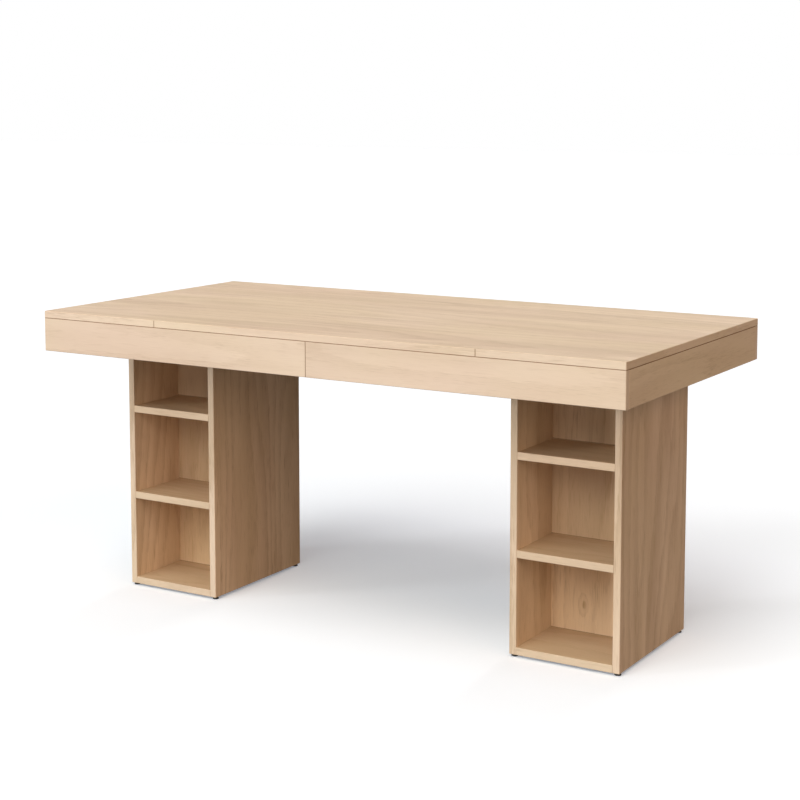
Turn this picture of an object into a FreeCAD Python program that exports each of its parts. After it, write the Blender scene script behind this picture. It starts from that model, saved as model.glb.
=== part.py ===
import FreeCAD, Part
import os
import re

import Sketcher

# Kitchen table whose top stands on two open shelf pedestals. Millimetres, +Z up, +X along the table.
# The origin lies on the floor under the middle of the top.

DRIVING_SIZES = [
    # the whole table
    ("table_length", 1600),
    ("table_width", 800),
    ("table_height", 750),
    # top in three butted boards, the middle one set by its own length
    ("top_thickness", 18),
    ("middle_length", 890),
    # apron round the edge of the top
    ("apron_height", 84),
    ("apron_thickness", 18),
    # carcass of a pedestal, open at the front and at the back
    ("board", 18),
    ("pedestal_width", 278),
    ("pedestal_depth", 384),
    ("end_overhang", 97),
    ("groove_depth", 5),
    # small bevel of every edged board
    ("arris", 1),
    # flat bearers and the cross rail under the top
    ("bearer_width", 80),
    ("bearer_thickness", 18),
    ("bearer_spread", 260),
    ("rail_thickness", 18),
    # levelling feet: pad, stem and the threaded insert that takes the stem
    ("foot_height", 6),
    ("foot_diameter", 16),
    ("foot_inset", 12),
    ("stem_diameter", 6),
    ("stem_clearance", 0.05),
    ("insert_diameter", 10),
    ("insert_length", 20),
    # hex bolts that hold the pedestals to the bearers
    ("bolt_diameter", 6),
    ("bolt_head_corners", 11.5),
    ("bolt_head_height", 4),
    ("bolt_inset", 60),
    # blind holes: play round a fixed fastener, spare depth past its tip, and wood left beyond the hole
    ("hole_clearance", 0.05),
    ("hole_spare", 1),
    ("hole_cover", 3),
    # steel brackets: the upright ones tie boards at a corner, the flat ones tie the apron to the top
    ("bracket_leg", 40),
    ("bracket_height", 40),
    ("bracket_thickness", 2),
    ("top_bracket_leg", 30),
    ("top_bracket_width", 20),
    ("tie_to_rail", 241),
    ("tie_to_end", 132),
]

SHELVES = ["lower", "upper"]
COMPARTMENTS = ["lower", "middle", "upper"]

# Heights and places that follow from the driving sizes
TOP_UNDERSIDE = "(table_height - top_thickness)"
APRON_MIDDLE = f"({TOP_UNDERSIDE} - apron_height / 2)"
APRON_INNER_X = "(table_length / 2 - apron_thickness)"
APRON_INNER_Y = "(table_width / 2 - apron_thickness)"
PEDESTAL_TOP = f"({TOP_UNDERSIDE} - bearer_thickness)"
SIDE_HEIGHT = f"({PEDESTAL_TOP} - board - foot_height)"
INSIDE_BASE = "(foot_height + board)"
INSIDE_HEIGHT = f"({SIDE_HEIGHT} - board)"
CLEAR_WIDTH = "(pedestal_width - 2 * board)"
CLEAR_HEIGHT = f"(({INSIDE_HEIGHT} - {len(SHELVES)} * board) / {len(COMPARTMENTS)})"
PEDESTAL_X = "(table_length / 2 - end_overhang - pedestal_width / 2)"
BOLT_X = "(pedestal_width / 2 - bolt_inset)"
BEARER_Y = "(bearer_spread / 2)"
FOOT_X = "((pedestal_width - board) / 2)"
FOOT_Y = "(pedestal_depth / 2 - foot_inset)"
BOLT_LENGTH = "(board + bearer_thickness - hole_cover - hole_spare)"

SIDES = {"left": "-1", "right": "1"}
ENDS = {"front": "-1", "rear": "1"}
X_AXIS = FreeCAD.Vector(1, 0, 0)
Y_AXIS = FreeCAD.Vector(0, 1, 0)
Z_AXIS = FreeCAD.Vector(0, 0, 1)
MIDDLE = FreeCAD.Vector(0, 0, 0)

# A sketch is drawn at this rough size, in mm, before its constraints take hold
ROUGH = 10.0
# How far apart two places, in mm, or two directions may lie and still count as one
SAME_PLACE = 0.01
SAME_DIRECTION = 0.001
# A cut that takes away less than this, in cubic mm, missed its board
LEAST_CUT = 1.0

doc = FreeCAD.newDocument("kitchen_table")
sheet = doc.addObject("Spreadsheet::Sheet", "sizes")
for row, (alias, value) in enumerate(DRIVING_SIZES, start=1):
    sheet.set(f"A{row}", alias)
    sheet.set(f"B{row}", str(value))
    sheet.setAlias(f"B{row}", alias)
doc.recompute()

sub_parts = []
cuts = []


def formula(text):
    # Turns size names into references to the sheet's cells
    return re.sub(r"[a-z][a-z_]*", lambda name: "sizes." + name.group(), text)


def put(obj, x="0", y="0", z="0"):
    for axis, place in zip("xyz", (x, y, z)):
        obj.setExpression(f"Placement.Base.{axis}", formula(place))


def new_body(label):
    body = doc.addObject("PartDesign::Body", label)
    body.Label = label
    return body


def new_sketch(body, name, role, offset="0", shift="0", rise="0"):
    # Drawn on an origin plane, moved along the plane's normal and along its own two axes
    plane = next(feature for feature in body.Origin.OriginFeatures if feature.Role == role)
    sketch = body.newObject("Sketcher::SketchObject", f"{body.Label}_{name}")
    sketch.AttachmentSupport = [(plane, "")]
    sketch.MapMode = "FlatFace"
    for axis, distance in zip("xyz", (shift, rise, offset)):
        sketch.setExpression(f"AttachmentOffset.Base.{axis}", formula(distance))
    return sketch


def constrain(sketch, name, size, kind, *places):
    # A constraint that starts at the rough size and then follows its formula
    index = sketch.addConstraint(Sketcher.Constraint(kind, *places, ROUGH))
    sketch.renameConstraint(index, name)
    sketch.setExpression(f"Constraints.{name}", formula(size))


def draw_outline(sketch, corners):
    points = [FreeCAD.Vector(x, y, 0) for x, y in corners]
    count = len(points)
    for start in range(count):
        end = (start + 1) % count
        sketch.addGeometry(Part.LineSegment(points[start], points[end]))
    for start in range(count):
        end = (start + 1) % count
        sketch.addConstraint(Sketcher.Constraint("Coincident", start, 2, end, 1))
        level = points[start].y == points[end].y
        sketch.addConstraint(Sketcher.Constraint("Horizontal" if level else "Vertical", start))


def draw_rectangle(sketch, width, height):
    half = ROUGH / 2
    draw_outline(sketch, [(-half, -half), (half, -half), (half, half), (-half, half)])
    sketch.addConstraint(Sketcher.Constraint("Symmetric", 0, 1, 1, 2, -1, 1))
    constrain(sketch, "width", width, "DistanceX", 0, 1, 0, 2)
    constrain(sketch, "height", height, "DistanceY", 1, 1, 1, 2)


def draw_circles(sketch, diameter, places):
    # Each place is a pair of formulas; a leading minus puts the centre on the negative side of the axis
    for index, place in enumerate(places):
        signs = [-1 if text.startswith("-") else 1 for text in place]
        centre = FreeCAD.Vector(ROUGH * signs[0], ROUGH * signs[1], 0)
        sketch.addGeometry(Part.Circle(centre, Z_AXIS, ROUGH / 2))
        for kind, text, own_axis in (("DistanceX", place[0], -2), ("DistanceY", place[1], -1)):
            if text == "0":
                sketch.addConstraint(Sketcher.Constraint("PointOnObject", index, 3, own_axis))
                continue
            ends = (index, 3, -1, 1) if text.startswith("-") else (-1, 1, index, 3)
            constrain(sketch, f"{kind}_{index}", text.lstrip("-"), kind, *ends)
        if index:
            sketch.addConstraint(Sketcher.Constraint("Equal", 0, index))
    constrain(sketch, "diameter", diameter, "Diameter", 0)


def pad(body, sketch, length, symmetric=False):
    feature = body.newObject("PartDesign::Pad", f"{body.Label}_pad")
    feature.Profile = sketch
    feature.setExpression("Length", formula(length))
    if symmetric:
        feature.SideType = "Symmetric"
    doc.recompute()


def pocket(body, sketch, depth, against_normal=True):
    before = body.Shape.Volume
    feature = body.newObject("PartDesign::Pocket", f"{sketch.Label}_pocket")
    feature.Profile = sketch
    feature.setExpression("Length", formula(depth))
    feature.Reversed = not against_normal
    doc.recompute()
    cuts.append((feature.Label, before - body.Shape.Volume))


def bevel(body, chosen):
    base = body.Tip
    edges = [f"Edge{n}" for n, edge in enumerate(base.Shape.Edges, start=1) if chosen(edge)]
    feature = body.newObject("PartDesign::Chamfer", f"{body.Label}_arris")
    feature.Base = (base, edges)
    feature.setExpression("Size", formula("arris"))
    doc.recompute()


def every_edge(edge):
    return True


def runs_along(edge, axis):
    direction = edge.Vertexes[1].Point - edge.Vertexes[0].Point
    return 1 - abs(direction.normalize().dot(axis)) < SAME_DIRECTION


def edges_along_x(edge):
    return runs_along(edge, X_AXIS)


def new_board(label, role, width, height, thickness, place, bevelled=every_edge):
    # A flat board drawn about its own middle on one of its origin planes
    body = new_body(label)
    outline = new_sketch(body, "outline", role)
    draw_rectangle(outline, width, height)
    pad(body, outline, thickness, symmetric=True)
    if bevelled:
        bevel(body, bevelled)
    put(body, *place)
    sub_parts.append(body)
    return body


def drill_from_below(body, name, face, places, diameter, depth, shift="0"):
    # Round holes upwards from the underside of a board
    sketch = new_sketch(body, name, "XY_Plane", face, shift)
    draw_circles(sketch, f"{diameter} + 2 * hole_clearance", places)
    pocket(body, sketch, depth, against_normal=False)


def new_turned(label, steps):
    # A turned piece: cylinders (radius, height) stacked upwards from the origin
    body = new_body(label)
    sketch = new_sketch(body, "profile", "XZ_Plane")
    count = len(steps)
    corners = [(0, 0)]
    for index in range(count):
        radius = ROUGH * (count - index)
        corners += [(radius, ROUGH * index), (radius, ROUGH * (index + 1))]
    corners.append((0, ROUGH * count))
    draw_outline(sketch, corners)
    sketch.addConstraint(Sketcher.Constraint("Coincident", 0, 1, -1, 1))
    for index, (radius, height) in enumerate(steps):
        wall = 2 * index + 1
        constrain(sketch, f"radius_{index}", radius, "DistanceX", -1, 1, wall, 1)
        constrain(sketch, f"height_{index}", height, "DistanceY", wall, 1, wall, 2)
    turned = body.newObject("PartDesign::Revolution", f"{label}_turned")
    turned.Profile = sketch
    turned.ReferenceAxis = (sketch, ["V_Axis"])
    turned.Angle = 360
    doc.recompute()
    return body


def new_angle(label, role, leg, width):
    # A bent steel angle with its outer corner at the origin and its legs along the sketch's axes
    body = new_body(label)
    sketch = new_sketch(body, "profile", role)
    sheet_metal = ROUGH / 5
    draw_outline(sketch, [(0, 0), (ROUGH, 0), (ROUGH, sheet_metal), (sheet_metal, sheet_metal),
                          (sheet_metal, ROUGH), (0, ROUGH)])
    sketch.addConstraint(Sketcher.Constraint("Coincident", 0, 1, -1, 1))
    constrain(sketch, "leg_one", leg, "DistanceX", 0, 1, 0, 2)
    constrain(sketch, "leg_two", leg, "DistanceY", 5, 2, 5, 1)
    constrain(sketch, "sheet_one", "bracket_thickness", "DistanceY", 1, 1, 1, 2)
    constrain(sketch, "sheet_two", "bracket_thickness", "DistanceX", 4, 2, 4, 1)
    pad(body, sketch, width, symmetric=True)
    return body


def mirror(source, normal):
    copy = doc.addObject("Part::Mirroring", f"{source.Name}_mirror")
    copy.Source = source
    copy.Base = MIDDLE
    copy.Normal = normal
    return copy


def in_four_quarters(label, masters):
    # The table is the same in all four quarters, so one quarter's fasteners are mirrored to the rest
    copies = []
    for master in masters:
        across = mirror(master, Y_AXIS)
        copies += [master, across, mirror(master, X_AXIS), mirror(across, X_AXIS)]
    group = doc.addObject("Part::Compound", label)
    group.Label = label
    group.Links = copies
    sub_parts.append(group)


def make_top():
    end_length = "(table_length - middle_length) / 2"
    height = f"{TOP_UNDERSIDE} + top_thickness / 2"

    def butt_ends_sharp(butt_faces):
        # The boards close up tight along the seam, so the edges across the top there stay square
        def chosen(edge):
            in_seam = any(abs(edge.CenterOfMass.x - x) < SAME_PLACE for x in butt_faces)
            return not (in_seam and runs_along(edge, Y_AXIS))
        return chosen

    half_middle = sheet.middle_length / 2
    half_end = (sheet.table_length - sheet.middle_length) / 4
    boards = {
        "left": (end_length, "-(middle_length / 2 + table_length / 2) / 2", [half_end]),
        "middle": ("middle_length", "0", [-half_middle, half_middle]),
        "right": (end_length, "(middle_length / 2 + table_length / 2) / 2", [-half_end]),
    }
    for name, (length, x, butt_faces) in boards.items():
        new_board(f"top_panel_{name}", "XY_Plane", length, "table_width", "top_thickness",
                  (x, "0", height), butt_ends_sharp(butt_faces))


def make_apron():
    for end, way in ENDS.items():
        y = f"{way} * (table_width - apron_thickness) / 2"
        for side, hand in SIDES.items():
            new_board(f"apron_{end}_{side}", "XZ_Plane", "table_length / 2", "apron_height",
                      "apron_thickness", (f"{hand} * table_length / 4", y, APRON_MIDDLE))
    for side, hand in SIDES.items():
        x = f"{hand} * (table_length - apron_thickness) / 2"
        new_board(f"apron_end_{side}", "YZ_Plane", f"2 * {APRON_INNER_Y}", "apron_height",
                  "apron_thickness", (x, "0", APRON_MIDDLE))


def make_under_frame():
    # hidden boards have plain sawn edges
    new_board("cross_rail", "YZ_Plane", f"2 * {APRON_INNER_Y}", "apron_height", "rail_thickness",
              ("0", "0", APRON_MIDDLE), bevelled=None)
    length = f"({APRON_INNER_X} - rail_thickness / 2)"
    middle = f"({APRON_INNER_X} + rail_thickness / 2) / 2"
    for end, way in ENDS.items():
        for side, hand in SIDES.items():
            place = (f"{hand} * {middle}", f"{way} * {BEARER_Y}", f"{PEDESTAL_TOP} + bearer_thickness / 2")
            bearer = new_board(f"bearer_{end}_{side}", "XY_Plane", length, "bearer_width",
                               "bearer_thickness", place, bevelled=None)
            # blind holes for the pedestal's bolts, measured from the middle of the table
            inner = f"({PEDESTAL_X} - {BOLT_X})"
            outer = f"({PEDESTAL_X} + {BOLT_X})"
            mirrored = "-" if side == "left" else ""
            holes = [(f"{mirrored}{inner}", "0"), (f"{mirrored}{outer}", "0")]
            drill_from_below(bearer, "bolt_holes", "-bearer_thickness / 2", holes, "bolt_diameter",
                             f"{BOLT_LENGTH} - board + hole_spare", shift=f"-{hand} * {middle}")


def four_places(x, y):
    return [(f"-{x}", f"-{y}"), (x, f"-{y}"), (x, y), (f"-{x}", y)]


def make_pedestal(side, hand):
    prefix = f"{side}_pedestal"
    x = f"{hand} * {PEDESTAL_X}"

    new_board(f"{prefix}_bottom", "XY_Plane", CLEAR_WIDTH, "pedestal_depth", "board",
              (x, "0", f"{INSIDE_BASE} - board / 2"), edges_along_x)

    top = new_board(f"{prefix}_top", "XY_Plane", "pedestal_width", "pedestal_depth", "board",
                    (x, "0", f"{PEDESTAL_TOP} - board / 2"), bevelled=None)
    drill_from_below(top, "bolt_holes", "-board / 2", four_places(BOLT_X, BEARER_Y), "bolt_diameter", "board")

    side_middle = f"foot_height + {SIDE_HEIGHT} / 2"
    for name, outward in (("outer", 1), ("inner", -1)):
        # the side's own direction, seen from the middle of its pedestal
        facing = int(hand) * outward
        wall = new_board(f"{prefix}_{name}_side", "YZ_Plane", "pedestal_depth", SIDE_HEIGHT, "board",
                         (f"{x} + {facing} * (pedestal_width - board) / 2", "0", side_middle))
        # the groove for the dividers stops on the bottom board
        groove = new_sketch(wall, "groove", "YZ_Plane", f"{-facing} * board / 2", rise="board / 2")
        draw_rectangle(groove, "board", INSIDE_HEIGHT)
        pocket(wall, groove, "groove_depth", against_normal=facing < 0)
        # the feet's inserts go into the lower edge
        drill_from_below(wall, "insert_holes", f"-{SIDE_HEIGHT} / 2", [("0", f"-{FOOT_Y}"), ("0", FOOT_Y)],
                         "insert_diameter", "insert_length + hole_spare")

    for below, name in enumerate(SHELVES):
        z = f"{INSIDE_BASE} + {below + 1} * {CLEAR_HEIGHT} + {below} * board + board / 2"
        new_board(f"{prefix}_{name}_shelf", "XY_Plane", CLEAR_WIDTH, "pedestal_depth", "board",
                  (x, "0", z), edges_along_x)

    for below, name in enumerate(COMPARTMENTS):
        z = f"{INSIDE_BASE} + {below} * ({CLEAR_HEIGHT} + board) + {CLEAR_HEIGHT} / 2"
        new_board(f"{prefix}_{name}_divider", "XZ_Plane", f"{CLEAR_WIDTH} + 2 * groove_depth",
                  CLEAR_HEIGHT, "board", (x, "0", z), bevelled=None)


def make_feet():
    for side, hand in SIDES.items():
        for end, way in ENDS.items():
            for name, outward in (("outer", 1), ("inner", -1)):
                pad_and_stem = [("foot_diameter / 2", "foot_height"), ("stem_diameter / 2", "insert_length")]
                foot = new_turned(f"{side}_{end}_{name}_foot", pad_and_stem)
                put(foot, f"{hand} * ({PEDESTAL_X} + {outward} * {FOOT_X})", f"{way} * {FOOT_Y}")
                sub_parts.append(foot)
    inserts = []
    for name, sign in (("outer", "+"), ("inner", "-")):
        insert = new_body(f"{name}_foot_insert")
        ring = new_sketch(insert, "ring", "XY_Plane")
        for radius in (ROUGH, ROUGH / 2):
            ring.addGeometry(Part.Circle(MIDDLE, Z_AXIS, radius))
        for index, size in enumerate(("insert_diameter", "stem_diameter + 2 * stem_clearance")):
            ring.addConstraint(Sketcher.Constraint("Coincident", index, 3, -1, 1))
            constrain(ring, f"diameter_{index}", size, "Diameter", index)
        pad(insert, ring, "insert_length")
        put(insert, f"{PEDESTAL_X} {sign} {FOOT_X}", f"-{FOOT_Y}", "foot_height")
        inserts.append(insert)
    in_four_quarters("foot_inserts", inserts)


def new_hex_bolt(name):
    # The head stands on the origin and the shank rises from it
    head = doc.addObject("Part::Prism", f"{name}_head")
    head.Polygon = 6
    head.setExpression("Circumradius", formula("bolt_head_corners / 2"))
    head.setExpression("Height", formula("bolt_head_height"))
    shank = doc.addObject("Part::Cylinder", f"{name}_shank")
    shank.setExpression("Radius", formula("bolt_diameter / 2"))
    shank.setExpression("Height", formula(BOLT_LENGTH))
    put(shank, z="bolt_head_height")
    bolt = doc.addObject("Part::Fuse", name)
    bolt.Base = head
    bolt.Tool = shank
    return bolt


def make_bolts():
    bolts = []
    for name, sign in (("outer", "+"), ("inner", "-")):
        bolt = new_hex_bolt(f"{name}_bolt")
        put(bolt, f"{PEDESTAL_X} {sign} {BOLT_X}", f"-{BEARER_Y}",
            f"{PEDESTAL_TOP} - board - bolt_head_height")
        bolts.append(bolt)
    in_four_quarters("pedestal_bolts", bolts)


def make_brackets():
    corners = []
    for name, x in (("corner", f"-{APRON_INNER_X}"), ("rail", "rail_thickness / 2")):
        angle = new_angle(f"{name}_angle", "XY_Plane", "bracket_leg", "bracket_height")
        put(angle, x, f"-{APRON_INNER_Y}", APRON_MIDDLE)
        corners.append(angle)
    in_four_quarters("corner_brackets", corners)

    ties = []
    near = "rail_thickness / 2 + tie_to_rail"
    far = f"{APRON_INNER_X} - tie_to_end"
    for name, x in (("near", near), ("far", far)):
        angle = new_angle(f"{name}_tie", "YZ_Plane", "top_bracket_leg", "top_bracket_width")
        angle.Placement = FreeCAD.Placement(MIDDLE, FreeCAD.Rotation(X_AXIS, -90))
        put(angle, x, f"-{APRON_INNER_Y}", TOP_UNDERSIDE)
        ties.append(angle)
    angle = new_angle("end_tie", "XZ_Plane", "top_bracket_leg", "top_bracket_width")
    angle.Placement = FreeCAD.Placement(MIDDLE, FreeCAD.Rotation(Y_AXIS, 90))
    # half way between a bearer's edge and the apron
    end_y = f"({BEARER_Y} + bearer_width / 2 + {APRON_INNER_Y}) / 2"
    put(angle, f"-{APRON_INNER_X}", f"-{end_y}", TOP_UNDERSIDE)
    ties.append(angle)
    in_four_quarters("top_brackets", ties)


def check_and_write():
    doc.recompute()
    for obj in doc.Objects:
        if {"Invalid", "Error"} & set(obj.State):
            raise RuntimeError(f"{obj.Label} failed: {obj.State}")
    for label, volume in cuts:
        if volume < LEAST_CUT:
            raise RuntimeError(f"{label} cuts nothing")
    for part in sub_parts:
        if part.Shape.isNull() or not part.Shape.isValid():
            raise RuntimeError(f"{part.Label} has no valid shape")
    os.makedirs("parts", exist_ok=True)
    for part in sub_parts:
        part.Shape.exportStep(f"parts/{part.Label}.step")
    print(f"{len(sub_parts)} parts written")


make_top()
make_apron()
make_under_frame()
for pedestal_side, pedestal_hand in SIDES.items():
    make_pedestal(pedestal_side, pedestal_hand)
make_feet()
make_bolts()
make_brackets()
check_and_write()
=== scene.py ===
import math

import bpy
from mathutils import Matrix, Vector


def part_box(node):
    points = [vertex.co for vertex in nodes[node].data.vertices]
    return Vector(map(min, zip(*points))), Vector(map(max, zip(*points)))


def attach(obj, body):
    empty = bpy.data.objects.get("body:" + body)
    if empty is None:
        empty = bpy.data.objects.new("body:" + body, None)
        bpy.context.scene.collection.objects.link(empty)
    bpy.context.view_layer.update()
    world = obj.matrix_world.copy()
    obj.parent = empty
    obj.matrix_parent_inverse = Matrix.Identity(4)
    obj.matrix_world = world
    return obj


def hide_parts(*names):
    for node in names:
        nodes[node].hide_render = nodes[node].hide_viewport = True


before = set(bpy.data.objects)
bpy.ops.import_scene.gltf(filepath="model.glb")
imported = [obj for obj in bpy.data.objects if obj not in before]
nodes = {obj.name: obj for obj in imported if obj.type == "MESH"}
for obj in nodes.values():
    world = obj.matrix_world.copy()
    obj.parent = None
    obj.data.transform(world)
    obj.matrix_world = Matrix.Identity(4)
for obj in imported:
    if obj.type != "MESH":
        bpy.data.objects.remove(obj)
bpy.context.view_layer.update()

# Camera, lamps and floor

cameraLook = {
    "place": (2.202, -3.625, 1.305),
    "turn": 31.12,                     # degrees, to the left of straight ahead
    "tilt": -5.97,                     # degrees, downwards
    "lens": 77.0,
    "rise": -0.1625,                   # lens shift, as a share of the frame
}

studioLamps = {
    # where each lamp stands (degrees left of the front, degrees up), how wide it looks, level, colour
    "key": {"turn": 0.0, "up": 40.0, "wide": 50.0, "level": 0.48, "colour": (0.98, 1.0, 0.91)},
    "high": {"turn": 5.0, "up": 70.0, "wide": 30.0, "level": 0.20, "colour": (0.98, 1.0, 1.0)},
    "top": {"turn": 0.0, "up": 88.0, "wide": 60.0, "level": 0.20, "colour": (1.0, 0.97, 0.92)},
    "side": {"turn": 45.0, "up": 6.0, "wide": 14.0, "level": 0.595, "colour": (0.99, 1.0, 0.985)},
    "low": {"turn": 0.0, "up": 6.0, "wide": 14.0, "level": 0.075, "colour": (1.0, 1.0, 1.0)},
    "fill": {"turn": -65.0, "up": 16.0, "wide": 60.0, "level": 0.465, "colour": (1.0, 0.715, 0.475)},
    "back": {"turn": 176.0, "up": 5.0, "wide": 8.0, "level": 0.68, "colour": (1.0, 0.97, 0.90)},
}

floorLook = {
    "size": 60.0,
    "bounce": (0.10, 0.10, 0.10),      # what the floor sends back to the table
    "seen": (0.90, 0.92, 0.97),        # what the lens sees of the lamps on it
    "glow": (0.206, 0.224, 0.256),     # what lifts the lit floor to white
}


def newNode(tree, kind, **settings):
    made = tree.nodes.new("ShaderNode" + kind)
    for name, value in settings.items():
        setattr(made, name, value)
    return made


def feed(tree, target, value):
    # a socket is linked, anything else is set
    if isinstance(value, bpy.types.NodeSocket):
        tree.links.new(value, target)
    else:
        target.default_value = value


def mathNode(tree, operation, *values, clamp=False):
    made = newNode(tree, "Math", operation=operation, use_clamp=clamp)
    for target, value in zip(made.inputs, values):
        feed(tree, target, value)
    return made.outputs[0]


def vectorNode(tree, operation, *values):
    made = newNode(tree, "VectorMath", operation=operation)
    for target, value in zip(made.inputs, values):
        feed(tree, target, value)
    return made.outputs["Value" if operation == "DOT_PRODUCT" else "Vector"]


def spreadNode(tree, value, low, high, start=0.0, end=1.0):
    made = newNode(tree, "MapRange", interpolation_type="SMOOTHSTEP")
    for target, given in zip(made.inputs, (value, low, high, start, end)):
        feed(tree, target, given)
    return made.outputs[0]


def noiseNode(tree, vector, stretch, detail, roughness):
    made = newNode(tree, "TexNoise")
    feed(tree, made.inputs["Vector"], vectorNode(tree, "MULTIPLY", vector, stretch))
    made.inputs["Scale"].default_value = 1.0
    made.inputs["Detail"].default_value = detail
    made.inputs["Roughness"].default_value = roughness
    return made


def mixColour(tree, factor, first, second):
    made = newNode(tree, "Mix", data_type="RGBA")
    feed(tree, made.inputs[0], factor)
    for target, colour in zip(made.inputs[6:8], (first, second)):
        feed(tree, target, colour if isinstance(colour, bpy.types.NodeSocket) else (*colour, 1.0))
    return made.outputs[2]


def mixVector(tree, factor, first, second):
    made = newNode(tree, "Mix", data_type="VECTOR")
    feed(tree, made.inputs[0], factor)
    feed(tree, made.inputs[4], first)
    feed(tree, made.inputs[5], second)
    return made.outputs[1]


def newMaterial(name):
    material = bpy.data.materials.new(name)
    material.use_nodes = True
    return material, material.node_tree


def addBump(tree, surface, height, strength, depth):
    bump = newNode(tree, "Bump")
    bump.inputs["Strength"].default_value = strength
    bump.inputs["Distance"].default_value = depth
    feed(tree, bump.inputs["Height"], height)
    feed(tree, surface.inputs["Normal"], bump.outputs[0])


def seenByLens(tree):
    # the lens, and mirrors and glass that show the same background
    path = newNode(tree, "LightPath").outputs
    twoKinds = mathNode(tree, "MAXIMUM", path["Is Camera Ray"], path["Is Glossy Ray"])
    return mathNode(tree, "MAXIMUM", twoKinds, path["Is Transmission Ray"])


def addCamera():
    data = bpy.data.cameras.new("tableCamera")
    data.lens = cameraLook["lens"]
    data.shift_y = cameraLook["rise"]
    camera = bpy.data.objects.new("tableCamera", data)
    bpy.context.scene.collection.objects.link(camera)
    camera.location = cameraLook["place"]
    camera.rotation_euler = (math.radians(90 + cameraLook["tilt"]), 0, math.radians(cameraLook["turn"]))
    bpy.context.scene.camera = camera


def addLamps():
    for name, look in studioLamps.items():
        data = bpy.data.lights.new(name + "Lamp", "SUN")
        data.energy = look["level"] * math.pi      # a level of 1 shows a colour as it is written
        data.angle = math.radians(look["wide"])
        data.color = look["colour"]
        lamp = bpy.data.objects.new(name + "Lamp", data)
        bpy.context.scene.collection.objects.link(lamp)
        lamp.rotation_euler = (math.radians(90 - look["up"]), 0, math.radians(-look["turn"]))
    world = bpy.data.worlds.new("studio")
    bpy.context.scene.world = world
    world.use_nodes = True
    tree = world.node_tree
    tree.nodes.clear()
    white = newNode(tree, "Background")
    white.inputs["Color"].default_value = (1.0, 1.0, 1.0, 1.0)
    feed(tree, white.inputs["Strength"], seenByLens(tree))
    feed(tree, newNode(tree, "OutputWorld").inputs["Surface"], white.outputs[0])


def addFloor():
    bpy.ops.object.select_all(action="DESELECT")
    bpy.ops.mesh.primitive_plane_add(size=floorLook["size"], location=(0, 0, 0))
    floor = bpy.context.object
    floor.name = "floor"
    material, tree = newMaterial("paleFloor")
    tree.nodes.clear()
    bounce = newNode(tree, "BsdfDiffuse")
    bounce.inputs["Color"].default_value = (*floorLook["bounce"], 1.0)
    seen = newNode(tree, "BsdfDiffuse")
    seen.inputs["Color"].default_value = (*floorLook["seen"], 1.0)
    glow = newNode(tree, "Emission")
    glow.inputs["Color"].default_value = (*floorLook["glow"], 1.0)
    lit = newNode(tree, "AddShader")
    feed(tree, lit.inputs[0], seen.outputs[0])
    feed(tree, lit.inputs[1], glow.outputs[0])
    mixed = newNode(tree, "MixShader")
    feed(tree, mixed.inputs[0], seenByLens(tree))
    feed(tree, mixed.inputs[1], bounce.outputs[0])
    feed(tree, mixed.inputs[2], lit.outputs[0])
    feed(tree, newNode(tree, "OutputMaterial").inputs["Surface"], mixed.outputs[0])
    floor.data.materials.append(material)


bpy.context.scene.view_settings.view_transform = "Standard"
addCamera()
addLamps()
addFloor()
print("camera, lamps and floor set")

# Oak finish of the boards

oakLook = {
    "pale": (0.815, 0.668, 0.537),
    "deep": (0.56, 0.418, 0.302),
    "pore": (0.34, 0.225, 0.14),
    "rosy": (0.70, 0.53, 0.42),
    "golden": (0.71, 0.575, 0.405),
    "knot": (0.30, 0.175, 0.095),
    # joint: the dark line at joints, partly the joint itself and partly painted shade; also the painted
    # contact shadow at divider feet
    "joint": (0.20, 0.095, 0.04),
    "ringCount": 15.0,
    "ringFray": 0.45,                  # how far the fibres shift a ring
    "sway": 0.018,                     # metres that the grain wanders, both sides together
    "poresInRing": 0.7,
    "poresBetween": 0.3,
    "poreShare": 0.40,
    "cloudShare": 0.35,
    "roughness": (0.56, 0.64),
    "poreRoughness": 0.12,
    "fibreHeight": 0.3,                # against the depth of a pore
    "bump": (0.12, 0.0004),            # strength, and depth in metres
    "specular": 0.10,
}

oakNoise = {
    # cycles per metre along the grain, across it and through the board, then detail and roughness
    "wander": ((1.1, 3.5, 3.5), 2.0, 0.5),
    "broad": ((1.5, 13.0, 13.0), 2.0, 0.5),
    "rings": ((0.55, 4.5, 4.5), 1.5, 0.4),
    "streak": ((13.0, 130.0, 130.0), 2.0, 0.5),
    "fibre": ((20.0, 300.0, 300.0), 2.0, 0.6),
    "pores": ((26.0, 1000.0, 1000.0), 1.0, 0.5),
    "cloud": ((2.2, 6.0, 6.0), 2.0, 0.5),
}

oakEnds = {
    # the two values of its noise between which a part of the figure sets in
    "broad": (0.28, 0.72),
    "fibre": (0.2, 0.8),
    "dashes": (0.60, 0.76),
    "pores": (0.56, 0.70),
    "cloud": (0.38, 0.68),
    # of the way from one ring to the next
    "ringRise": (0.0, 0.07),
    "ringFade": (0.07, 0.75),
}

oakShares = {
    # how much each part counts in the figure, and its middle value
    "broad": (0.50, 0.5),
    "ring": (0.26, 0.33),
    "dashes": (0.38, 0.08),
    "fibre": (0.20, 0.5),
}

knotLook = {
    "size": (0.009, 0.0042, 0.0042),
    "fall": 0.37,                      # what is left of a knot at its own size
    "reach": 0.14,                     # lower bends the grain further off
    "push": -0.75,                     # how far the grain is moved aside
    "rings": 1.6,
    "share": 0.35,
}

knotSpots = {                          # boards with a knot, and where it is
    "right_pedestal_lower_divider": (0.530, -0.009, 0.091),
}
noKnot = (9.0, 9.0, 9.0)               # far from every board

# the dark lines at joints, partly the joint itself and partly painted shade of the gap, and the painted
# contact shadow at the foot of a divider
jointShadeLook = {
    "lean": 0.707,                     # an arris looks halfway between two faces
    "leanSpread": 0.2,
    "seamReach": 0.0015,               # metres to each side of a butt seam
    "seamStrength": 0.64,
    "contactStrength": 0.6,
}
flatFace = 0.8                         # a face that looks along an axis has more of its normal there

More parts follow.
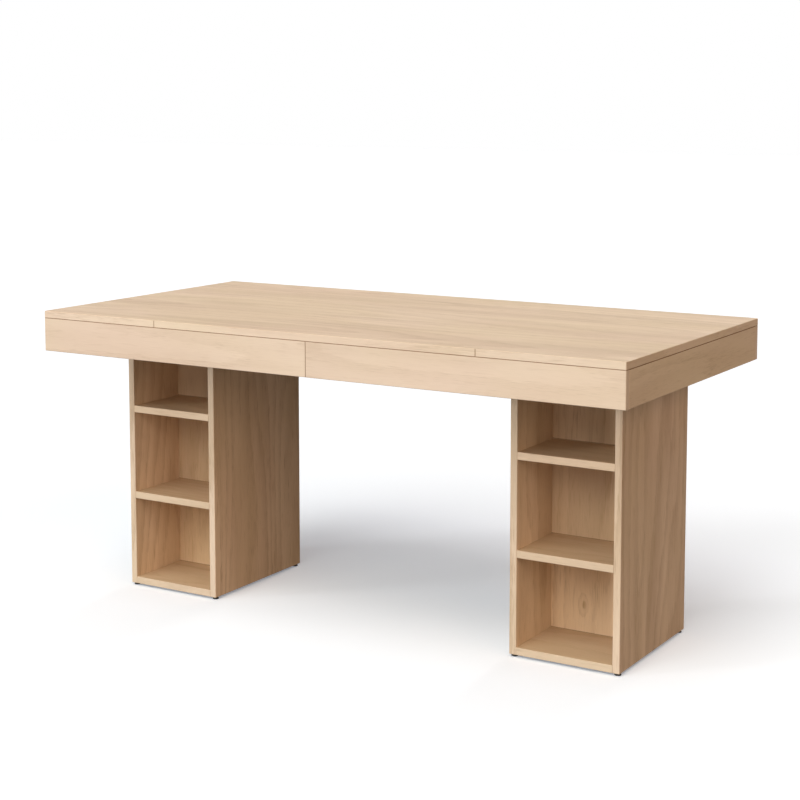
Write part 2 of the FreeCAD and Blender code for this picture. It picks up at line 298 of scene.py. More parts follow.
quarterTurn = math.pi / 2
grainTurn = {                          # turns a board's grain onto the figure's own X
    "x": (0.0, 0.0, 0.0),
    "y": (0.0, 0.0, -quarterTurn),
    "z": (0.0, quarterTurn, 0.0),
}
figureStep = ((1.37, 5), (0.83, 3), (0.61, 2))     # metres from board to board, and where it starts again
topShift = (0.4, 0.3, 0.2)                         # the boards of the top run on


def makeOakFigure():
    group = bpy.data.node_groups.new("oakFigure", "ShaderNodeTree")
    for name, kind in (("Vector", "Vector"), ("Knot", "Vector"), ("Contrast", "Float"), ("Tone", "Vector")):
        group.interface.new_socket(name, in_out="INPUT", socket_type="NodeSocket" + kind)
    for name, kind in (("Color", "Color"), ("Roughness", "Float"), ("Height", "Float")):
        group.interface.new_socket(name, in_out="OUTPUT", socket_type="NodeSocket" + kind)
    place, knotPlace, contrast, level = group.nodes.new("NodeGroupInput").outputs[:4]

    # the grain flows round a knot and wanders a little from a straight line
    fromKnot = vectorNode(group, "SUBTRACT", place, knotPlace)
    inSizes = vectorNode(group, "DIVIDE", fromKnot, knotLook["size"])
    squared = vectorNode(group, "DOT_PRODUCT", inSizes, inSizes)
    knot = mathNode(group, "POWER", knotLook["fall"], squared)
    nearKnot = mathNode(group, "MULTIPLY", squared, knotLook["reach"])
    nearKnot = mathNode(group, "POWER", knotLook["fall"], nearKnot)
    aside = newNode(group, "VectorMath", operation="SCALE")
    feed(group, aside.inputs[0], vectorNode(group, "MULTIPLY", fromKnot, (0.0, 1.0, 1.0)))
    feed(group, aside.inputs["Scale"], mathNode(group, "MULTIPLY", nearKnot, knotLook["push"]))
    drift = noiseNode(group, place, *oakNoise["wander"]).outputs["Color"]
    drift = vectorNode(group, "SUBTRACT", drift, (0.5, 0.5, 0.5))
    drift = vectorNode(group, "MULTIPLY", drift, (0.0, oakLook["sway"], oakLook["sway"]))
    flowing = vectorNode(group, "ADD", vectorNode(group, "ADD", place, aside.outputs[0]), drift)

    broad = noiseNode(group, flowing, *oakNoise["broad"]).outputs["Fac"]
    field = noiseNode(group, flowing, *oakNoise["rings"]).outputs["Fac"]
    streak = noiseNode(group, flowing, *oakNoise["streak"]).outputs["Fac"]
    fibre = noiseNode(group, flowing, *oakNoise["fibre"]).outputs["Fac"]
    pores = noiseNode(group, flowing, *oakNoise["pores"]).outputs["Fac"]
    clouds = newNode(group, "SeparateColor")
    feed(group, clouds.inputs[0], noiseNode(group, place, *oakNoise["cloud"]).outputs["Color"])

    # growth rings are level lines of a slow field: sharp on one side, fading on the other
    ringAt = mathNode(group, "MULTIPLY", field, oakLook["ringCount"])
    ringAt = mathNode(group, "ADD", ringAt, mathNode(group, "MULTIPLY", fibre, oakLook["ringFray"]))
    ringAt = mathNode(group, "ADD", ringAt, mathNode(group, "MULTIPLY", nearKnot, knotLook["rings"]))
    ringAt = mathNode(group, "FRACT", ringAt)
    sharp = spreadNode(group, ringAt, *oakEnds["ringRise"])
    fading = spreadNode(group, ringAt, *oakEnds["ringFade"], 1.0, 0.0)
    ring = mathNode(group, "MULTIPLY", sharp, fading)
    inRing = mathNode(group, "MULTIPLY_ADD", ring, oakLook["poresInRing"], oakLook["poresBetween"])
    pores = mathNode(group, "MULTIPLY", spreadNode(group, pores, *oakEnds["pores"]), inRing)

    parts = {
        "broad": spreadNode(group, broad, *oakEnds["broad"]),
        "ring": ring,
        "dashes": spreadNode(group, streak, *oakEnds["dashes"]),
        "fibre": spreadNode(group, fibre, *oakEnds["fibre"]),
    }
    tone = 0.0
    for name, (share, middle) in oakShares.items():
        tone = mathNode(group, "MULTIPLY_ADD", mathNode(group, "SUBTRACT", parts[name], middle), share, tone)
    tone = mathNode(group, "MULTIPLY_ADD", tone, contrast, 0.5, clamp=True)
    colour = mixColour(group, tone, oakLook["pale"], oakLook["deep"])
    for cloud, tint in zip(clouds.outputs, (oakLook["rosy"], oakLook["golden"])):
        cloud = spreadNode(group, cloud, *oakEnds["cloud"], 0.0, oakLook["cloudShare"])
        colour = mixColour(group, cloud, colour, tint)
    poreShare = mathNode(group, "MULTIPLY", contrast, oakLook["poreShare"])
    colour = mixColour(group, mathNode(group, "MULTIPLY", pores, poreShare), colour, oakLook["pore"])
    colour = mixColour(group, mathNode(group, "MULTIPLY", knot, knotLook["share"]), colour, oakLook["knot"])
    # the board's tone, which carries painted light and shade on several boards
    colour = vectorNode(group, "MULTIPLY", colour, level)

    out = group.nodes.new("NodeGroupOutput")
    feed(group, out.inputs["Color"], colour)
    roughness = spreadNode(group, fibre, *oakEnds["fibre"], *oakLook["roughness"])
    inPores = mathNode(group, "MULTIPLY", pores, oakLook["poreRoughness"])
    feed(group, out.inputs["Roughness"], mathNode(group, "ADD", roughness, inPores))
    raised = mathNode(group, "MULTIPLY", fibre, oakLook["fibreHeight"])
    feed(group, out.inputs["Height"], mathNode(group, "SUBTRACT", raised, pores))
    return group


def oakBoard(name, look, shift):
    material, tree = newMaterial(name + "Oak")
    surface = tree.nodes["Principled BSDF"]
    spot = newNode(tree, "TexCoord").outputs
    facing = newNode(tree, "SeparateXYZ")
    feed(tree, facing.inputs[0], spot["Normal"])
    away = newNode(tree, "SeparateXYZ")
    feed(tree, away.inputs[0], spot["Object"])

    def laid(axis, value):
        made = newNode(tree, "Mapping")
        feed(tree, made.inputs["Vector"], value)
        made.inputs["Rotation"].default_value = grainTurn[axis]
        made.inputs["Location"].default_value = shift
        return made.outputs[0]

    def looksAlong(axis):
        turned = mathNode(tree, "ABSOLUTE", facing.outputs["xyz".index(axis)])
        return mathNode(tree, "GREATER_THAN", turned, flatFace)

    def leans(value):
        return mathNode(tree, "COMPARE", value, jointShadeLook["lean"], jointShadeLook["leanSpread"])

    place = laid(look["grain"], spot["Object"])
    if "band" in look:
        # a strip of the finish covers the ends of the board
        endAxis, bandGrain = look["band"]
        place = mixVector(tree, looksAlong(endAxis), place, laid(bandGrain, spot["Object"]))
    figure = newNode(tree, "Group", node_tree=oakFigure)
    feed(tree, figure.inputs["Vector"], place)
    feed(tree, figure.inputs["Knot"], laid(look["grain"], knotSpots.get(name, noKnot)))
    figure.inputs["Contrast"].default_value = look["contrast"]
    # the board's tone, on several boards painted lighter or darker for the light and shade that fall there
    tone = look["tone"]
    if "face" in look:
        # these faces of the board are painted lighter or darker than the rest, for the light and shade that
        # fall on them
        faceAxis, paintedFaceTone = look["face"]
        tone = mixVector(tree, looksAlong(faceAxis), tone, paintedFaceTone)
    feed(tree, figure.inputs["Tone"], tone)
    colour = figure.outputs["Color"]
    if "joint" in look:
        # the arris along the joint under the top, and those on both sides of the butt seams, darkened:
        # partly the joint itself, partly painted shade of the gap
        upDown, seamX, strength = look["joint"]
        jointArrisShade = leans(mathNode(tree, "MULTIPLY", facing.outputs[2], float(upDown)))
        jointArrisShade = mathNode(tree, "MULTIPLY", jointArrisShade, strength)
        offMiddle = mathNode(tree, "ABSOLUTE", away.outputs[0])
        seamArrisShade = mathNode(tree, "COMPARE", offMiddle, seamX, jointShadeLook["seamReach"])
        sideways = leans(mathNode(tree, "ABSOLUTE", facing.outputs[0]))
        seamArrisShade = mathNode(tree, "MULTIPLY", seamArrisShade, sideways)
        seamArrisShade = mathNode(tree, "MULTIPLY", seamArrisShade, jointShadeLook["seamStrength"])
        colour = mixColour(tree, mathNode(tree, "MAXIMUM", jointArrisShade, seamArrisShade), colour, oakLook["joint"])
    if "contact" in look:
        # painted contact shadow: a thin dark line where a housed divider meets the board below
        contactShadeMask = mathNode(tree, "LESS_THAN", away.outputs[2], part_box(name)[0].z + look["contact"])
        contactShadeMask = mathNode(tree, "MULTIPLY", contactShadeMask, jointShadeLook["contactStrength"])
        colour = mixColour(tree, contactShadeMask, colour, oakLook["joint"])
    feed(tree, surface.inputs["Base Color"], colour)
    feed(tree, surface.inputs["Roughness"], figure.outputs["Roughness"])
    surface.inputs["Specular IOR Level"].default_value = oakLook["specular"]
    addBump(tree, surface, figure.outputs["Height"], *oakLook["bump"])
    return material


def dressBoards():
    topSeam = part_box("top_panel_middle")[1].x
    noSeam = -1.0
    plain = (1.0, 1.0, 1.0)
    # painted shade on the faces of a shelf that look up and down
    shelfTopShade = ("z", (0.83, 0.74, 0.63))
    longApron = {
        "grain": "x", "contrast": 0.55, "tone": (0.99, 0.99, 1.02),
        "band": ("x", "z"), "joint": (1, 0.0, 0.62)}
    kinds = {
        # words in the node's name, and what such a board has, the first that fits:
        # grain: the axis it runs along; contrast and tone: how strong and how light the figure is;
        # on several boards the tone is painted lighter or darker for the light and shade that fall there
        # face: an axis, and another tone for the faces that look along it, painted lighter or darker for the
        # light on them
        # band: the axis of the covered ends, and the grain there
        # joint: up or down, how far from the middle its seams are, how dark the line is, a line that is
        # partly the joint itself and partly painted shade of the gap
        # contact: metres above its foot that a painted contact shadow reaches
        # painted highlight on the front and rear edges of the top
        "top_panel": {
            "grain": "x", "contrast": 0.85, "tone": (1.005, 0.99, 0.975), "face": ("y", (1.02, 1.03, 1.05)),
            "band": ("x", "y"), "joint": (-1, topSeam, 0.80)},
        "apron_front": longApron,
        "apron_rear": longApron,
        # the end aprons painted darker, and their joint line darkest
        "apron_end": {"grain": "y", "contrast": 0.90, "tone": (0.95, 0.94, 0.90), "joint": (1, noSeam, 1.0)},
        "cross_rail": {"grain": "y", "contrast": 0.80, "tone": plain},
        "bearer": {"grain": "x", "contrast": 0.80, "tone": plain},
        # painted shade on the top face of the pedestal bottom
        "pedestal_bottom": {
            "grain": "x", "contrast": 0.70, "tone": (0.94, 0.92, 0.88), "face": ("z", (0.85, 0.77, 0.65))},
        "pedestal_top": {"grain": "x", "contrast": 0.80, "tone": (0.95, 0.93, 0.90)},
        # the left pedestal's inner side painted lighter, and its front edge painted darker
        "left_pedestal_inner_side": {
            "grain": "z", "contrast": 1.45, "tone": (1.10, 1.02, 0.95), "face": ("y", (0.92, 0.89, 0.87))},
        # the right pedestal's outer side painted darker, and its front edge painted lighter
        "right_pedestal_outer_side": {
            "grain": "z", "contrast": 1.35, "tone": (0.93, 0.90, 0.875), "face": ("y", (1.02, 1.0, 0.97))},
        "_side": {"grain": "z", "contrast": 1.35, "tone": (0.96, 0.935, 0.91)},
        # the upper shelf painted lighter than the other shelves
        "upper_shelf": {"grain": "x", "contrast": 0.70, "tone": (1.08, 1.05, 1.0), "face": shelfTopShade},
        "_shelf": {"grain": "x", "contrast": 0.70, "tone": (0.96, 0.94, 0.90), "face": shelfTopShade},
        # the lower dividers painted lighter, the middle and upper ones darker, each with a painted contact
        # shadow at its foot
        "lower_divider": {"grain": "z", "contrast": 1.0, "tone": (1.13, 1.04, 0.89), "contact": 0.0018},
        "middle_divider": {"grain": "z", "contrast": 1.0, "tone": (0.88, 0.785, 0.67), "contact": 0.0018},
        "upper_divider": {"grain": "z", "contrast": 1.0, "tone": (0.96, 0.86, 0.735), "contact": 0.0018},
    }
    count = 0
    for name, piece in sorted(nodes.items()):
        for words, look in kinds.items():
            if words in name:
                # each board is cut from another place
                count += 1
                shift = tuple(step * count % wrap for step, wrap in figureStep)
                if words == "top_panel":
                    shift = topShift
                piece.material_slots[0].material = oakBoard(name, look, shift)
                break
    print("oak on", count, "boards")


oakFigure = makeOakFigure()
dressBoards()

# Zinc and plastic of the fittings

zincLook = {
    "bright": (0.66, 0.67, 0.68),
    "dull": (0.50, 0.515, 0.53),
    "spangle": 420.0,                  # cells per metre
    "brushed": ((60.0, 60.0, 900.0), 2.0, 0.5),    # cycles per metre, detail and roughness
    "shares": (0.5, 0.5),              # of the spangle and of the brushing
    "ends": (0.2, 0.8),
    "roughness": (0.30, 0.46),
}

plasticLook = {
    "black": (0.022, 0.022, 0.024),
    "scuffed": (0.050, 0.049, 0.048),
    "moulded": ((900.0, 900.0, 900.0), 1.0, 0.5),
    "worn": ((160.0, 160.0, 160.0), 3.0, 0.5),
    "scuffEnds": (0.52, 0.74),
    "wornEnds": (0.3, 0.7),
    "roughness": (0.42, 0.60),
    "bump": (0.25, 0.0001),
}


def makeZinc():
    material, tree = newMaterial("zincSteel")
    surface = tree.nodes["Principled BSDF"]
    place = newNode(tree, "TexCoord").outputs["Object"]
    cells = newNode(tree, "TexVoronoi")
    feed(tree, cells.inputs["Vector"], place)
    cells.inputs["Scale"].default_value = zincLook["spangle"]
    shade = newNode(tree, "SeparateColor")
    feed(tree, shade.inputs[0], cells.outputs["Color"])
    brushed = noiseNode(tree, place, *zincLook["brushed"]).outputs["Fac"]
    spangleShare, brushShare = zincLook["shares"]
    tone = mathNode(tree, "MULTIPLY", brushed, brushShare)
    tone = mathNode(tree, "MULTIPLY_ADD", shade.outputs[0], spangleShare, tone)
    feed(tree, surface.inputs["Base Color"], mixColour(tree, tone, zincLook["bright"], zincLook["dull"]))
    surface.inputs["Metallic"].default_value = 1.0
    roughness = spreadNode(tree, tone, *zincLook["ends"], *zincLook["roughness"])
    feed(tree, surface.inputs["Roughness"], roughness)
    return material


def makePlastic():
    material, tree = newMaterial("blackPlastic")
    surface = tree.nodes["Principled BSDF"]
    place = newNode(tree, "TexCoord").outputs["Object"]
    worn = noiseNode(tree, place, *plasticLook["worn"]).outputs["Fac"]
    moulded = noiseNode(tree, place, *plasticLook["moulded"]).outputs["Fac"]
    scuff = spreadNode(tree, worn, *plasticLook["scuffEnds"])
    colour = mixColour(tree, scuff, plasticLook["black"], plasticLook["scuffed"])
    feed(tree, surface.inputs["Base Color"], colour)
    roughness = spreadNode(tree, worn, *plasticLook["wornEnds"], *plasticLook["roughness"])
    feed(tree, surface.inputs["Roughness"], roughness)
    addBump(tree, surface, moulded, *plasticLook["bump"])
    return material


zincSteel = makeZinc()
blackPlastic = makePlastic()
print("zinc and plastic mixed")

# Steps shared by the modelled fittings

tiny = 0.000002                        # metres: corners closer than this are one
straight = 0.99                        # a face looks one way when its normal has this much of it
smoothAngle = math.radians(32)
edgeAngle = math.radians(40)
threadShape = {                        # in pitches: start and end of the crest, first cut, turns to spare
    "crest": (0.40, 0.60),
    "cut": 1.3,
    "spare": 2,
}


def startPiece(add, **settings):
    bpy.ops.object.select_all(action="DESELECT")
    add(**settings)
    bpy.ops.object.transform_apply(location=True, rotation=True, scale=True)
    return bpy.context.object


def pick(piece, kind, wanted):
    # selects in edit mode what passes the test: a face's middle and normal, or an edge's two ends
    bpy.ops.object.mode_set(mode="OBJECT")
    mesh = piece.data
    for parts in (mesh.vertices, mesh.edges, mesh.polygons):
        parts.foreach_set("select", [False] * len(parts))
    bpy.context.tool_settings.mesh_select_mode = (False, kind == "edge", kind == "face")
    if kind == "face":
        for face in mesh.polygons:
            face.select = wanted(face.center, face.normal)
    else:
        for edge in mesh.edges:
            edge.select = wanted(*(mesh.vertices[index].co for index in edge.vertices))
    bpy.ops.object.mode_set(mode="EDIT")


def extrude(*step):
    bpy.ops.mesh.extrude_region_move(TRANSFORM_OT_translate={"value": step})


def closeSeams():
    if bpy.context.object.mode != "EDIT":
        bpy.ops.object.mode_set(mode="EDIT")
    bpy.ops.mesh.select_all(action="SELECT")
    bpy.ops.mesh.remove_doubles(threshold=tiny)
    bpy.ops.mesh.normals_make_consistent(inside=False)
    bpy.ops.object.mode_set(mode="OBJECT")


def drawLine(points):
    # one point drawn out into an open line: radius and height of each point
    piece = startPiece(bpy.ops.mesh.primitive_plane_add, size=0.01)
    bpy.ops.object.mode_set(mode="EDIT")
    bpy.context.tool_settings.mesh_select_mode = (True, False, False)
    bpy.ops.mesh.select_all(action="SELECT")
    bpy.ops.mesh.merge(type="CENTER")
    bpy.ops.transform.translate(value=(points[0][0], 0, points[0][1]))
    for start, end in zip(points, points[1:]):
        step = (end[0] - start[0], 0, end[1] - start[1])
        bpy.ops.mesh.extrude_vertices_move(TRANSFORM_OT_translate={"value": step})
    bpy.ops.mesh.select_all(action="SELECT")
    return piece


def turnLine(points, steps):
    piece = drawLine(points)
    bpy.ops.mesh.spin(steps=steps, angle=2 * math.pi, center=(0, 0, 0), axis=(0, 0, 1))
    closeSeams()
    return piece


def hexagon(corners, low, high):
    return startPiece(
        bpy.ops.mesh.primitive_cylinder_add, vertices=6, radius=corners / 2, depth=high - low,
        location=(0, 0, (low + high) / 2))


def threadedRod(look, low, high):
    # one tooth turned up a helix, then cut flat at both ends
    radius, pitch = look["radius"], look["pitch"]
    root = radius - look["depth"]
    rise, fall = (share * pitch for share in threadShape["crest"])
    piece = drawLine([(root, 0.0), (radius, rise), (radius, fall), (root, pitch)])
    bpy.ops.object.mode_set(mode="OBJECT")
    helix = piece.modifiers.new("helix", "SCREW")
    helix.axis = "Z"
    helix.screw_offset = pitch
    helix.iterations = math.ceil((high - low) / pitch) + threadShape["spare"]
    helix.steps = helix.render_steps = look["steps"]
    bpy.ops.object.modifier_apply(modifier="helix")
    bpy.ops.object.mode_set(mode="EDIT")
    bpy.ops.mesh.select_all(action="SELECT")
    bpy.ops.mesh.remove_doubles(threshold=tiny)
    start = threadShape["cut"] * pitch
    for height, cleared in ((start, "clear_inner"), (start + high - low, "clear_outer")):
        bpy.ops.mesh.select_all(action="SELECT")
        bpy.ops.mesh.bisect(
            plane_co=(0, 0, height), plane_no=(0, 0, 1), use_fill=True, threshold=tiny, **{cleared: True})
    bpy.ops.mesh.select_all(action="SELECT")
    bpy.ops.transform.translate(value=(0, 0, low - start))
    closeSeams()
    return piece


def activate(*pieces):
    bpy.ops.object.select_all(action="DESELECT")
    for piece in pieces:
        piece.select_set(True)
    bpy.context.view_layer.objects.active = pieces[0]


def joined(*pieces):
    activate(*pieces)
    if len(pieces) > 1:
        bpy.ops.object.join()
    return pieces[0]


def copied(piece, spots):
    # a copy with a mesh of its own at each place, and the pattern itself taken away
    made = []
    for place, turn in spots:
        activate(piece)
        bpy.ops.object.duplicate()
        copy = bpy.context.object
        copy.location = place
        copy.rotation_euler = turn
        bpy.ops.object.transform_apply(location=True, rotation=True, scale=True)
        made.append(copy)
    activate(piece)
    bpy.ops.object.delete()
    return made


def softEdges(piece, width, segments):
    activate(piece)
    bevel = piece.modifiers.new("softEdges", "BEVEL")
    bevel.width = width
    bevel.segments = segments
    bevel.limit_method = "ANGLE"
    bevel.angle_limit = edgeAngle
    bpy.ops.object.modifier_apply(modifier="softEdges")


def cutAway(piece, cutter):
    activate(piece)
    cut = piece.modifiers.new("cutAway", "BOOLEAN")
    cut.operation = "DIFFERENCE"
    cut.solver = "EXACT"
    cut.object = cutter
    bpy.ops.object.modifier_apply(modifier="cutAway")
    activate(cutter)
    bpy.ops.object.delete()
    activate(piece)


def settle(piece, name, material, slot, body, *stoodFor):
    activate(piece)
    piece.name = piece.data.name = name
    bpy.ops.object.shade_smooth_by_angle(angle=smoothAngle)
    piece.data.materials.clear()
    piece.data.materials.append(material)
    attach(piece, body)
    if stoodFor:
        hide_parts(*stoodFor)


def faceTowards(direction):
    # turns a piece whose head looks up so that it looks that way
    return Vector(direction).to_track_quat("Z", "Y").to_euler()


upright = (0, 0, 0)                    # not turned

# Levelling feet: a moulded pad with a spanner collar, on a threaded stem

footPad = {
    "line": [                          # radius and height, from the middle of the glide upwards
        (0.0, 0.0009), (0.0050, 0.0009), (0.0055, 0.0003), (0.0061, 0.0), (0.0070, 0.0),
        (0.0077, 0.0003), (0.0080, 0.0010), (0.0080, 0.0021), (0.0077, 0.0027), (0.0070, 0.0030),
        (0.0063, 0.0033), (0.0060, 0.0037), (0.0, 0.0037),
    ],
    "steps": 32,
    "rim": 0.0078,                     # faces further out carry the grips
    "rimLean": 0.3,
    "grips": (0.0002, -0.0003),        # inset and depth
    "collarCorners": 0.0122,           # over its corners
    "collar": (0.0036, 0.0059),
    "dish": (0.0012, -0.0004),
    "collarEdge": (0.00025, 2),        # width and steps
}
footStem = {"radius": 0.0030, "depth": 0.0005, "pitch": 0.0010, "low": 0.0050, "top": 0.0259, "steps": 18}


def makeFoot(foot):
    low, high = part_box(foot)
    middle = Vector(((low.x + high.x) / 2, (low.y + high.y) / 2, 0.0))

    def isFlute(at, out):
        # every other face round the rim
        step = math.degrees(math.atan2(at.y, at.x)) * footPad["steps"] / 360
        onRim = abs(out.z) < footPad["rimLean"] and at.xy.length > footPad["rim"]
        return onRim and math.floor(step) % 2 == 0

    pad = turnLine(footPad["line"], footPad["steps"])
    pick(pad, "face", isFlute)
    inset, depth = footPad["grips"]
    bpy.ops.mesh.inset(thickness=inset, depth=depth, use_individual=True)
    bpy.ops.object.mode_set(mode="OBJECT")
    collar = hexagon(footPad["collarCorners"], *footPad["collar"])
    pick(collar, "face", lambda at, out: out.z > straight)
    inset, depth = footPad["dish"]
    bpy.ops.mesh.inset(thickness=inset, depth=0.0)
    extrude(0, 0, depth)
    bpy.ops.object.mode_set(mode="OBJECT")
    softEdges(collar, *footPad["collarEdge"])
    pad = copied(joined(pad, collar), [(middle, upright)])[0]
    stem = threadedRod(footStem, footStem["low"], footStem["top"])
    stem = copied(stem, [(middle, upright)])[0]
    words = foot.split("_")
    short = words[0] + "".join(word.capitalize() for word in words[1:])
    settle(pad, short + "Pad", blackPlastic, "foot_plastic", foot, foot)
    settle(stem, short + "Stem", zincSteel, "zinc_steel", foot, foot)
    return middle


footSpots = [makeFoot(name) for name in sorted(nodes) if name.endswith("_foot")]
print("levelling feet modelled:", len(footSpots))

# Barbed inserts that the stems run in

footInsert = {
    "bore": 0.00305, "outer": 0.0050, "root": 0.0043, "low": 0.0060, "high": 0.0260, "barbs": 6, "steps": 24,
    "collar": 0.0015,
    "ends": 0.0030,                    # the collar and the smooth end together
    "barbShort": 0.0001,               # the barbs stay this far inside the collar
    "undercut": 0.0002,
    "tip": 0.0013,
    "chamfer": 0.0003,
}


def makeInserts():
    look = footInsert
    bore, outer, root, chamfer = look["bore"], look["outer"], look["root"], look["chamfer"]
    low, high = look["low"], look["high"]
    line = [(bore + chamfer, low), (outer, low), (outer, low + look["collar"])]
    step = (high - low - look["ends"]) / look["barbs"]
    for index in range(look["barbs"]):
        foot = low + look["collar"] + index * step
        line += [(root, foot + look["undercut"]), (outer - look["barbShort"], foot + step)]
    line += [(root, high - look["tip"]), (root - chamfer, high), (bore, high)]
    line += [(bore, low + chamfer), line[0]]
    insert = turnLine(line, look["steps"])
    inserts = joined(*copied(insert, [(spot, upright) for spot in footSpots]))
    settle(inserts, "footInserts", zincSteel, "zinc_steel", "table", "foot_inserts")


makeInserts()
print("inserts modelled")

# Hexagon bolts that hold the pedestals to the bearers

hexBolt = {
    "corners": 0.0115, "headLow": 0.6920, "flangeLow": 0.6951, "seat": 0.6960, "tip": 0.7280,
    "flange": 0.0070, "radius": 0.0030, "depth": 0.0005, "pitch": 0.0010, "steps": 14,
    "chamfer": 0.0006,
    "crown": 0.0010,
    "dish": (0.0006, -0.0004),
    "flangeEdge": (0.0006, 0.0004),
    "flangeSteps": 32,
    "sunk": 0.0004,                    # the thread starts inside the flange
    "across": (0.485, 0.643), "along": 0.130,      # from the middle of the table
}


def makeBolts():
    look = hexBolt
    low, seat = look["headLow"], look["seat"]
    head = hexagon(look["corners"], low, seat)
    # the crown: a chamfered face with a shallow dish
    pick(head, "edge", lambda first, last: max(first.z, last.z) < low + tiny)
    bpy.ops.mesh.bevel(offset=look["chamfer"], segments=2)
    pick(head, "face", lambda at, out: out.z < -straight)
    bpy.ops.mesh.inset(thickness=look["crown"], depth=0.0)
    inset, depth = look["dish"]
    bpy.ops.mesh.inset(thickness=inset, depth=depth)
    bpy.ops.object.mode_set(mode="OBJECT")
    rim, rimLow = look["flange"], look["flangeLow"]
    edgeIn, edgeUp = look["flangeEdge"]
    line = [(0.0, rimLow), (rim - edgeIn, rimLow), (rim, rimLow + edgeUp), (rim, seat), (0.0, seat)]
    flange = turnLine(line, look["flangeSteps"])
    shank = threadedRod(look, seat - look["sunk"], look["tip"])
    bolt = joined(head, flange, shank)
    spots = []
    for side in (-1, 1):
        for x in look["across"]:
            for end in (-1, 1):
                spots.append(((side * x, end * look["along"], 0.0), upright))
    bolts = joined(*copied(bolt, spots))
    settle(bolts, "pedestalBolts", zincSteel, "zinc_steel", "table", "pedestal_bolts")


makeBolts()
print("bolts modelled")

# Angle brackets of the aprons, and the wood screws in them

cornerBracket = {
    "leg": 0.040, "wide": 0.040, "thick": 0.0020, "round": 0.0060, "height": 0.690,
    "holes": [(0.026, -0.011), (0.026, 0.011)],    # from the corner, and up
}
topBracket = {
    "leg": 0.030, "wide": 0.020, "thick": 0.0020, "round": 0.0050, "height": 0.732,
    "holes": [(0.018, 0.0)],
    "alongX": (-0.65, -0.25, 0.25, 0.65),          # on the long aprons
    "alongY": (-0.276, 0.276),                     # on the end aprons
}
bracketBend = {
    "outer": (1.4, 5),                 # in thicknesses, and steps
    "inner": (0.4, 3),
    "roundSteps": 5,
    "edge": (0.0002, 1),
}
bracketHole = {"radius": 0.0021, "depth": 0.008, "vertices": 16}
cornerTurns = {(1, 1): 0, (-1, 1): 1, (-1, -1): 2, (1, -1): 3}     # quarter turns, by the legs' directions

woodScrew = {
    "head": [
        (0.0, 0.0022), (0.0014, 0.00215), (0.0025, 0.0017), (0.0033, 0.0008), (0.0035, 0.0),
        (0.0017, 0.0), (0.0017, -0.0022),
    ],
    "root": 0.0011, "crest": 0.00175, "pitch": 0.0016, "steps": 12,
    "neck": 0.0022,
    "plain": 0.0040,                   # neck and tip together, without thread
    "rise": 0.45,                      # of the pitch
    "recess": (0.0007, 0.0015, 0.0013),            # width, reach and half the height of the cross
    "recessAt": 0.0023,
    "short": 0.0100,
    "long": 0.0300,
    "bearerX": (0.06, 0.24, 0.40, 0.745),
}


def makeBracket(look):
    # outer corner on the axis, legs along x and y, each leg with its holes
    thick, leg, wide = look["thick"], look["leg"], look["wide"]
    bracket = startPiece(
        bpy.ops.mesh.primitive_cube_add, size=1,
        location=(thick / 2, thick / 2, 0), scale=(thick, thick, wide))
    pick(bracket, "face", lambda at, out: out.x > straight)
    extrude(leg - thick, 0, 0)
    pick(bracket, "face", lambda at, out: out.y > straight and at.x < thick)
    extrude(0, leg - thick, 0)
    closeSeams()

    def onLine(spot, at):
        return abs(spot.x - at) < tiny and abs(spot.y - at) < tiny

    def atEnd(spot):
        return max(spot.x, spot.y) > leg - tiny

    for at, (size, steps) in ((0.0, bracketBend["outer"]), (thick, bracketBend["inner"])):
        pick(bracket, "edge", lambda first, last: onLine(first, at) and onLine(last, at))
        bpy.ops.mesh.bevel(offset=size * thick, segments=steps)
    pick(bracket, "edge", lambda first, last: atEnd(first) and atEnd(last) and abs(first.z - last.z) < tiny)
    bpy.ops.mesh.bevel(offset=look["round"], segments=bracketBend["roundSteps"])
    bpy.ops.object.mode_set(mode="OBJECT")
    softEdges(bracket, *bracketBend["edge"])
    cutters = []
    for away, rise in look["holes"]:
        inX = {"location": (away, thick / 2, rise), "rotation": (quarterTurn, 0, 0)}
        inY = {"location": (thick / 2, away, rise), "rotation": (0, quarterTurn, 0)}
        for spot in (inX, inY):
            cutters.append(startPiece(bpy.ops.mesh.primitive_cylinder_add, **bracketHole, **spot))
    cutAway(bracket, joined(*cutters))
    return bracket


def makeScrew(length):
    look = woodScrew
    root, crest, pitch = look["root"], look["crest"], look["pitch"]
    line = list(look["head"])
    for index in range(int((length - look["plain"]) / pitch)):
        foot = -look["neck"] - index * pitch
        line += [(root, foot - look["rise"] * pitch), (crest, foot - pitch)]
    line.append((0.0, -length))
    screw = turnLine(line, look["steps"])
    wide, reach, deep = look["recess"]
    cross = startPiece(
        bpy.ops.mesh.primitive_cube_add, size=1,
        location=(0, 0, look["recessAt"]), scale=(wide, wide, 2 * deep))
    for way in (Vector((1, 0, 0)), Vector((-1, 0, 0)), Vector((0, 1, 0)), Vector((0, -1, 0))):
        pick(cross, "face", lambda at, out: out.dot(way) > straight and abs(at.dot(way) - wide / 2) < tiny)
        extrude(*(way * (reach - wide / 2)))
    closeSeams()
    cutAway(screw, cross)
    return screw


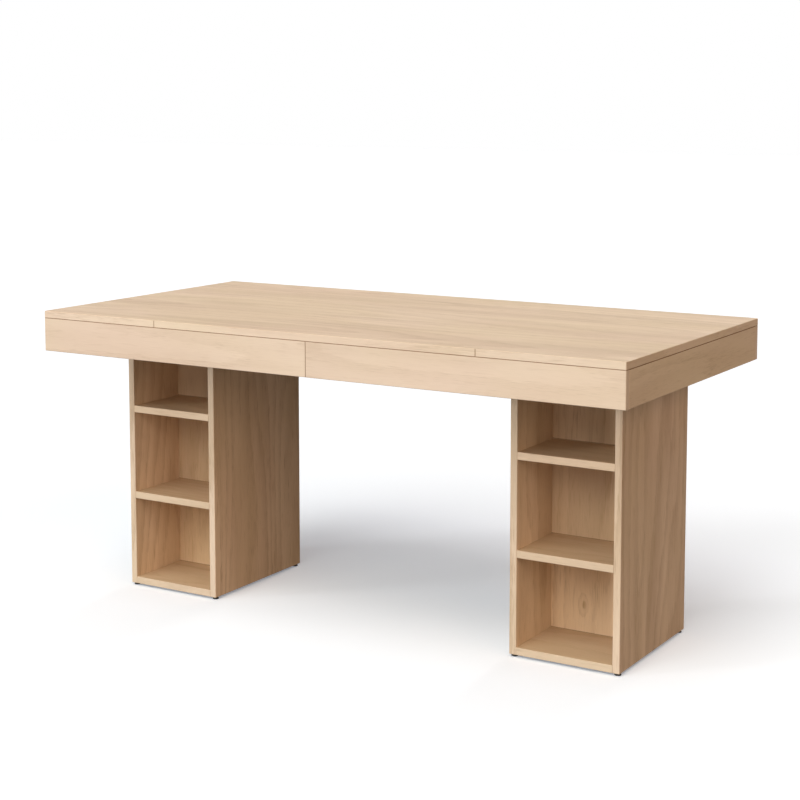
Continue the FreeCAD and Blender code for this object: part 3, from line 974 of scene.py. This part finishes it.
def makeBrackets():
    bracketSpots, topSpots, screwSpots, bearerSpots = [], [], [], []
    thick, height = cornerBracket["thick"], cornerBracket["height"]
    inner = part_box("apron_end_right")[0].x
    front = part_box("apron_front_right")[1].y
    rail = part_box("cross_rail")[1].x
    for x in (-inner, -rail, rail, inner):
        for y in (front, -front):
            alongX = math.copysign(1, x) * (-1 if abs(x) == inner else 1)
            alongY = -math.copysign(1, y)
            bracketSpots.append(((x, y, height), (0, 0, cornerTurns[alongX, alongY] * quarterTurn)))
            for away, rise in cornerBracket["holes"]:
                inX = (x + alongX * away, y + alongY * thick, height + rise)
                inY = (x + alongX * thick, y + alongY * away, height + rise)
                screwSpots.append((inX, faceTowards((0, alongY, 0))))
                screwSpots.append((inY, faceTowards((alongX, 0, 0))))
    corners = joined(*copied(makeBracket(cornerBracket), bracketSpots))
    settle(corners, "cornerBrackets", zincSteel, "zinc_steel", "table", "corner_brackets")

    places = []
    for x in topBracket["alongX"]:
        for y in (front, -front):
            places.append((Vector((x, y, topBracket["height"])), Vector((0, -math.copysign(1, y), 0))))
    for x in (-inner, inner):
        for y in topBracket["alongY"]:
            places.append((Vector((x, y, topBracket["height"])), Vector((-math.copysign(1, x), 0, 0))))
    down = Vector((0, 0, -1))
    for place, inward in places:
        topSpots.append((place, Matrix((inward, down, inward.cross(down))).transposed().to_euler()))
        for away, _ in topBracket["holes"]:
            screwSpots.append((place + inward * away + down * topBracket["thick"], faceTowards(down)))
            screwSpots.append((place + down * away + inward * topBracket["thick"], faceTowards(inward)))
    tops = joined(*copied(makeBracket(topBracket), topSpots))
    settle(tops, "topBrackets", zincSteel, "zinc_steel", "table", "top_brackets")
    screws = joined(*copied(makeScrew(woodScrew["short"]), screwSpots))
    settle(screws, "bracketScrews", zincSteel, "zinc_steel", "table")

    low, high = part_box("bearer_front_right")
    middle = (low.y + high.y) / 2
    for side in (-1, 1):
        for end in (-1, 1):
            for x in woodScrew["bearerX"]:
                bearerSpots.append(((side * x, end * middle, low.z), faceTowards(down)))
    longScrews = joined(*copied(makeScrew(woodScrew["long"]), bearerSpots))
    settle(longScrews, "bearerScrews", zincSteel, "zinc_steel", "table")
    print("brackets:", len(bracketSpots) + len(topSpots), "with screws:", len(screwSpots) + len(bearerSpots))


makeBrackets()

# End of the scene

print("scene built")
